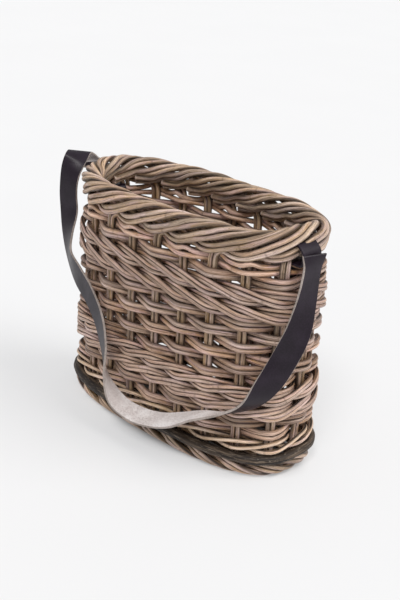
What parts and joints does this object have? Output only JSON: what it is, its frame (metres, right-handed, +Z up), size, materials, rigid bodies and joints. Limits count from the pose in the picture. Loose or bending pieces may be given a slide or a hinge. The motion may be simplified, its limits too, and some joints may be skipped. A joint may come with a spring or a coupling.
{
  "type": "rattan windowsill basket",
  "caption": "Tall narrow oval basket woven from paired rattan rods, with a rolled border, a dark hoop round its foot and a leather carrying strap.",
  "frame": {"origin": "centre of the whole box in plan, at the floor the foot stands on", "axes": "+X along the basket's long side towards the right-hand strap end, +Y towards its back, +Z up"},
  "size_m": [0.4434, 0.2054, 0.3141],
  "materials": {
    "rattan": "weathered peeled rattan, brown to mauve grey, matt with paler streaks",
    "stake_rattan": "weathered rattan, olive tan, half matt",
    "dark_hoop_bark": "thick cane with dark bark left on, speckled, matt",
    "black_leather": "smooth blue-black face, pale grey suede back and raw edges"
  },
  "bodies": {
    "basket": {"stake_pair_01": "stake_rattan", "stake_pair_02": "stake_rattan", "stake_pair_03": "stake_rattan", "stake_pair_04": "stake_rattan", "stake_pair_05": "stake_rattan", "stake_pair_06": "stake_rattan", "stake_pair_07": "stake_rattan", "stake_pair_08": "stake_rattan", "stake_pair_09": "stake_rattan", "stake_pair_10": "stake_rattan", "stake_pair_11": "stake_rattan", "stake_pair_12": "stake_rattan", "stake_pair_13": "stake_rattan", "stake_pair_14": "stake_rattan", "stake_pair_15": "stake_rattan", "stake_pair_16": "stake_rattan", "stake_pair_17": "stake_rattan", "stake_pair_18": "stake_rattan", "stake_pair_19": "stake_rattan", "stake_pair_20": "stake_rattan", "lower_rand_1": "rattan", "lower_rand_2": "rattan", "middle_rand_1": "rattan", "middle_rand_2": "rattan", "middle_rand_3": "rattan", "middle_rand_4": "rattan", "middle_rand_5": "rattan", "middle_rand_6": "rattan", "upper_rand_1": "rattan", "upper_rand_2": "rattan", "foot_wale_1": "rattan", "lower_wale_1": "rattan", "lower_wale_2": "rattan", "upper_wale_1": "rattan", "upper_wale_2": "rattan", "foot_hoop": "dark_hoop_bark", "base_stick_1": "rattan", "base_stick_2": "rattan", "base_stick_3": "rattan", "base_stick_4": "rattan", "base_stick_5": "rattan", "base_pair_01": "rattan", "base_pair_02": "rattan", "base_pair_03": "rattan", "base_pair_04": "rattan", "base_pair_05": "rattan", "base_pair_06": "rattan", "base_pair_07": "rattan", "base_pair_08": "rattan", "base_pair_09": "rattan", "base_pair_10": "rattan", "base_pair_11": "rattan", "base_pair_12": "rattan", "strap_end_left": "black_leather", "strap_end_right": "black_leather"},
    "strap": {"strap": "black_leather"}
  },
  "joints": [
    {"name": "strap_swing", "type": "hinge", "parent": "basket", "child": "strap", "pos_m": [-0.18224, 0.02959, 0.28409], "axis": [-0.9968, 0.0805, 0], "range_deg": [0, 255]}
  ]
}
